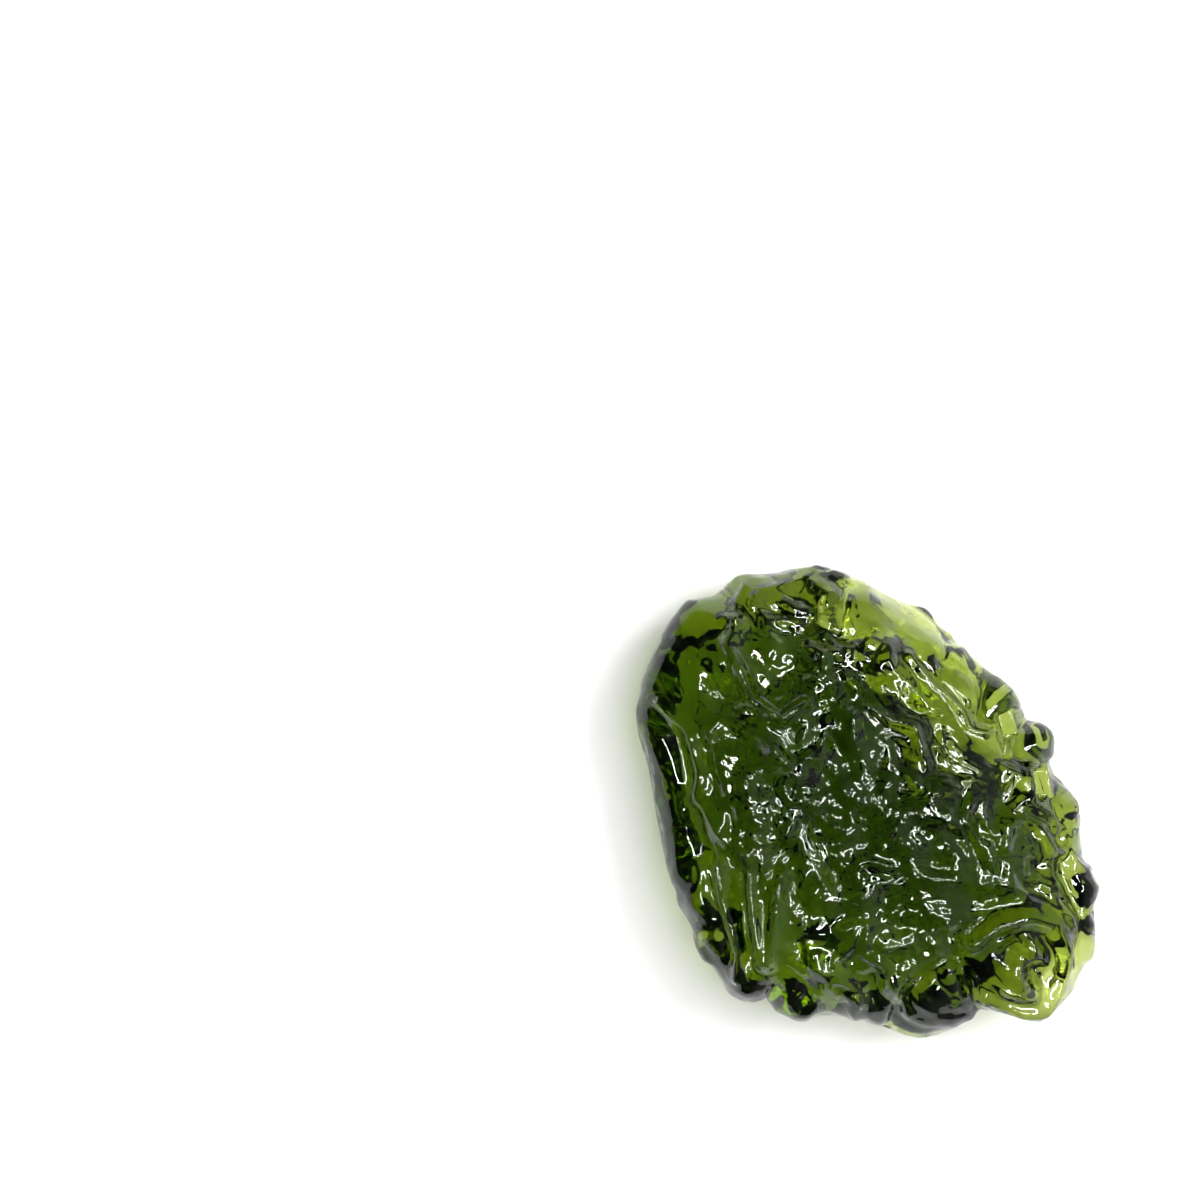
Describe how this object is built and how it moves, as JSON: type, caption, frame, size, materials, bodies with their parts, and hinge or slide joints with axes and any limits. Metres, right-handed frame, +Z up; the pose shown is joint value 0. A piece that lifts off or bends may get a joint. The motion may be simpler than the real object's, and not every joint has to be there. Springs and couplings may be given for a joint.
{
  "type": "moldavite",
  "caption": "Moldavite: a lump of olive-green natural glass, flat and kite-shaped, with a wrinkled, pitted skin.",
  "frame": {"origin": "on the rest plane, under the middle of the stone's outline", "axes": "+Z up, out of the stone's broad upper side; +Y towards its narrow rounded end; +X to its right as seen from above"},
  "size_m": [0.035, 0.0356, 0.0121],
  "materials": {
    "glass": "see-through bottle-green natural glass with a shiny, wrinkled skin"
  },
  "bodies": {
    "root": {"moldavite": "glass"}
  },
  "joints": []
}
